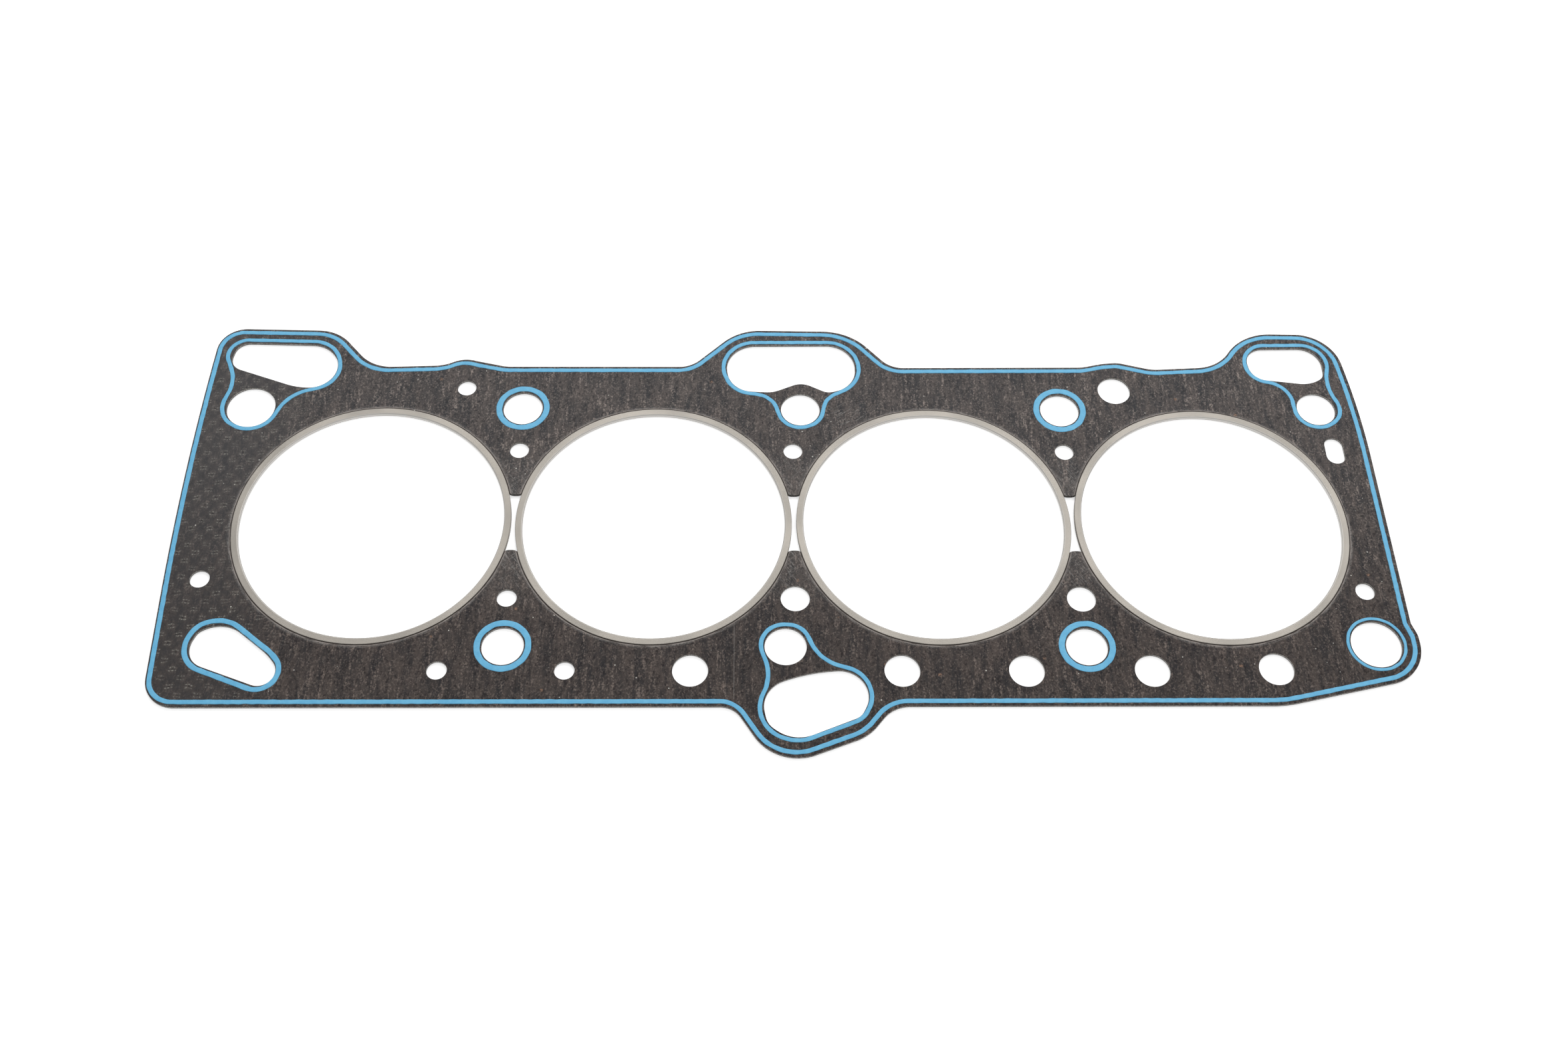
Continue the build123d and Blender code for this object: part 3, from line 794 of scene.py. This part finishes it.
def ringMaterial(look):
    material, tree, principled = newMaterial("fireRingSteel")
    inner, outer = look["inner"], look["outer"]
    place = placeInMillimetres(tree)
    x, y, z = parts(tree, place, 3)
    spoke, radius = nearestRing(tree, x, y)

    # drawing lines run round the ring: noise that changes fast across the strip and slowly along it
    drawn = noise(tree, roundTheRing(tree, x, spoke, radius, 1.6, 0.004, 9.0), 1.0, 4, 0.6)
    # painted reflection and mottling: slow noise blends the lit and the shaded flange steel round the ring
    cloud = noise(tree, place, 0.22, 3, 0.55)
    tone = scaleAndAdd(tree, noise(tree, place, 0.045, 2), 0.8, times(tree, cloud, 0.2))
    colour = blendColour(tree, ease(tree, tone, 0.34, 0.66), look["shade"], look["satinLit"])

    # painted highlight on the fold between the flange and the bore wall, a bore wall paler for its polish and
    # for painted reflection, and painted shade on the sheared edge
    fold = ease(tree, radius, *(inner + reach for reach in look["foldFade"]))
    colour = blendColour(tree, fold, colour, look["bent"])
    wall = ease(tree, radius, *(inner + reach for reach in look["wallFade"]))
    wall = times(tree, wall, ease(tree, calc(tree, "ABSOLUTE", z), *look["wallLimit"]))
    colour = blendColour(tree, wall, colour, look["wallPolishAndSheen"])
    edge = ease(tree, radius, *(outer - reach for reach in look["edgeFade"]))
    colour = blendColour(tree, times(tree, edge, look["edgeShare"]), colour, look["sheared"])

    principled.inputs["Metallic"].default_value = 1.0
    rough = scaleAndAdd(tree, cloud, 0.08, scaleAndAdd(tree, drawn, 0.12, 0.42))
    height = scaleAndAdd(tree, noise(tree, place, 0.9, 3, 0.6), 0.6, drawn)
    finishSurface(tree, principled, colour, rough, height, 0.25, 0.05)
    return material


ringSteel = ringMaterial(ring)
section = ringSection(ring)
for number, column in enumerate(ringColumns, start=1):
    a = np.arange(ring["steps"]) / ring["steps"] * 2 * np.pi
    path = np.stack([column + np.cos(a), np.sin(a)], 1)
    points, quads = sweepLoop(path, section - (1.0, 0.0))
    shape = (points, quads, noTriangles)
    meshPiece(f"fireRingFold{number}", *shape, ringSteel, "ring_steel", f"fire_ring_{number}")
print("fire rings:", 2 * len(ringColumns) * len(quads), "triangles")


# Printed sealing beads

bead = {
    "height": 0.15,
    "sunk": 0.05,  # how far a bead's foot reaches into the facing
    "edgeWidth": 1.5,
    "edgeInset": 1.6,
    "edgeShift": -0.4,
    "portWidth": 1.4,
    "slotWidth": 1.7,
    "boltWidth": 2.0,
    "dowelWidth": 1.0,
    "land": 0.4,  # bare facing between a hole and the bead round it
    "ripple": 0.05,  # unevenness of a bead's width
    "drift": 0.035,  # and of its line
    "sag": 0.07,  # and of its height
    "waves": (25.0, 3.0),  # length of its longest and shortest waves
    "steps": {"outline": 0.8, "route": 0.6},
    "blue": (0.140, 0.448, 0.675, 1),
    "deep": (0.102, 0.385, 0.62, 1),
    "chalk": (0.21, 0.495, 0.685, 1),
}
beadRoutes = {
    "drain_port_bead": [
        (-201.1, 75.3, 6.5), (-160.5, 74.5, 10.5), (-155.9, 56.7, 9.5), (-174.1, 51.6, 14),
        (-181.8, 33.3, 9), (-197.9, 42.2, 9.5), (-193.3, 57.3, 15.5),
    ],
    "centre_port_bead": [
        (-29.8, 75, 11), (21.3, 75.4, 11), (25.2, 57.8, 11), (11.8, 51, 8), (9.6, 40.5, 7),
        (-2.3, 36.3, 7.5), (-6.9, 51.6, 8.5), (-20.4, 53.8, 9.5),
    ],
    "timing_port_bead": [
        (159.6, 74.8, 8), (192.7, 75.3, 8.5), (188.3, 57.2, 17.5), (193.2, 44.4, 7.5),
        (176.4, 33.9, 7.5), (174.9, 57.5, 9), (162.1, 59.7, 7.5),
    ],
    "feed_port_bead": [
        (-14.4, -38.3, 7.5), (1.9, -38.5, 7), (7.7, -51.3, 14), (27.7, -57.5, 10), (20.7, -71.6, 7.5),
        (0.8, -79.5, 11), (-15.6, -74.9, 11), (-7.8, -56.6, 15.5),
    ],
    "drain_slot_bead": [
        (-189.9, -38.8, 7), (-181.3, -36.1, 10.5), (-165.4, -48.8, 15), (-147.6, -70.3, 6.5),
        (-196.4, -51.2, 9),
    ],
}


def beadSection(width, size):
    # Superellipse with a nearly flat top, on a foot that goes down into the facing:
    # side = width / 2 * cos(a) ** 0.55 and lift = height * sin(a) ** 0.6.
    a = np.linspace(0, np.pi, 13)
    side = np.sign(np.cos(a)) * np.abs(np.cos(a)) ** 0.55 * width / 2
    lift = np.sin(a) ** 0.6 * size["height"]
    foot = np.array([(-width / 2, -size["sunk"]), (width / 2, -size["sunk"])])
    return np.concatenate([np.stack([side, lift], 1), foot])


def beadMaterial(look):
    material, tree, principled = newMaterial("printedBead")
    place = placeInMillimetres(tree)
    cloud = noise(tree, place, 0.55, 3, 0.6)
    colour = blendColour(tree, ease(tree, cloud, 0.3, 0.72), look["deep"], look["blue"])
    grain = noise(tree, place, 5.0, 3, 0.6)
    colour = blendColour(tree, times(tree, ease(tree, grain, 0.52, 0.72), 0.45), colour, look["chalk"])
    rough = scaleAndAdd(tree, cloud, 0.2, 0.38)
    principled.inputs["Specular IOR Level"].default_value = 0.35
    finishSurface(tree, principled, colour, rough, scaleAndAdd(tree, grain, 0.4, cloud), 0.3, 0.06)
    return material


def layBead(name, path, width, material, seed):
    # The print's width, line and height waver a little, each by its own closed sum of waves.
    length = np.linalg.norm(np.roll(path, -1, 0) - path, axis=1).sum()
    low, high = max(2, int(length / bead["waves"][0])), max(6, int(length / bead["waves"][1]))
    thick, drift, sag = (wobble(len(path), low, high, seed + more) for more in (0, 50, 90))
    height = 1 - bead["sag"] + bead["sag"] * np.tanh(sag)
    thick, drift = 1 + bead["ripple"] * thick, bead["drift"] * drift
    points, quads = sweepLoop(path, beadSection(width, bead), thick, drift, height, gasket["faceTop"])
    for side in ("upper", "lower"):
        shape = (points, quads, noTriangles)
        shape = mirrored(*shape) if side == "lower" else shape
        title = side + "".join(word.capitalize() for word in name.split("_")) + "Print"
        meshPiece(title, *shape, material, "sealing_bead", f"{side}_{name}")
    return 4 * len(quads)


def beadRound(x, y, radius, width):
    # The middle line of a bead round a hole.
    return circleLoop(x, y, radius + bead["land"] + width / 2, bead["steps"]["route"])


beadBlue = beadMaterial(bead)
outline = roundedLoop(outlineCorners, bead["steps"]["outline"])
outline = outline - outwardOf(outline) * bead["edgeInset"] + (bead["edgeShift"], 0)
beads = {"edge_bead": (outline, bead["edgeWidth"])}
for name, corners in beadRoutes.items():
    width = bead["slotWidth" if name == "drain_slot_bead" else "portWidth"]
    beads[name] = (roundedLoop(corners, bead["steps"]["route"]), width)
radius, width = gasket["sleeveRadius"], bead["dowelWidth"]
beads["dowel_bead"] = (beadRound(*roundHoles[radius][1], radius, width), width)
radius, width = gasket["boltRadius"], bead["boltWidth"]
for number, (x, y) in enumerate(roundHoles[radius][:4], start=1):
    beads[f"bolt_bead_{number}"] = (beadRound(x, y, radius, width), width)
count = 0
for number, (name, (path, width)) in enumerate(beads.items()):
    count += layBead(name, path, width, beadBlue, 11 * number + 3)
print("beads:", count, "triangles")


# Floor, lamps and world

studio = {
    "floorColour": (0.9, 0.9, 0.9, 1),
    "floorHalf": 3.0,  # metres, as are the lamps' places and sizes
    "floorGlow": 0.42,  # only for the camera and reflections: the paper is white and keeps its shadow
    "worldLevel": 0.58,
    "strip": {"place": (0.12, 0.62, 0.75), "size": (1.4, 0.3), "power": 5.0},
    "fill": {"place": (0.6, -0.6, 1.7), "size": (1.6, 1.6), "power": 7.0},
}


def seenRay(tree):
    # 1 for camera and glossy rays, 0 for the light that falls on the gasket.
    ray = tree.nodes.new("ShaderNodeLightPath")
    return calc(tree, "MAXIMUM", ray.outputs["Is Camera Ray"], ray.outputs["Is Glossy Ray"])


def setFloor(setup):
    mesh = bpy.data.meshes.new("paper")
    half, z = setup["floorHalf"], -gasket["floorDrop"] * millimetre
    corners = [(-half, -half, z), (half, -half, z), (half, half, z), (-half, half, z)]
    mesh.from_pydata(corners, [], [(0, 1, 2, 3)])
    floor = bpy.data.objects.new("paper", mesh)
    bpy.context.scene.collection.objects.link(floor)
    material, tree, principled = newMaterial("whitePaper")
    principled.inputs["Base Color"].default_value = setup["floorColour"]
    principled.inputs["Roughness"].default_value = 0.9
    principled.inputs["Specular IOR Level"].default_value = 0.1
    principled.inputs["Emission Color"].default_value = (1, 1, 1, 1)
    glow = times(tree, seenRay(tree), setup["floorGlow"])
    tree.links.new(glow, principled.inputs["Emission Strength"])
    mesh.materials.append(material)


def setWorld(setup):
    world = bpy.data.worlds.new("softWhite")
    world.use_nodes = True
    tree = world.node_tree
    level = scaleAndAdd(tree, seenRay(tree), 1.0 - setup["worldLevel"], setup["worldLevel"])
    backdrop = tree.nodes["Background"]
    backdrop.inputs["Color"].default_value = (1, 1, 1, 1)
    tree.links.new(level, backdrop.inputs["Strength"])
    bpy.context.scene.world = world


def setLamp(name, setup):
    lamp = bpy.data.lights.new(name, "AREA")
    lamp.shape = "RECTANGLE"
    lamp.size, lamp.size_y = setup["size"]
    lamp.energy = setup["power"]
    made = bpy.data.objects.new(name, lamp)
    bpy.context.scene.collection.objects.link(made)
    made.location = setup["place"]
    made.rotation_euler = (-made.location).to_track_quat("-Z", "Y").to_euler()


setFloor(studio)
setWorld(studio)
for name in ("strip", "fill"):
    setLamp(name, studio[name])
bpy.context.scene.view_settings.view_transform = "Standard"
print("studio set")
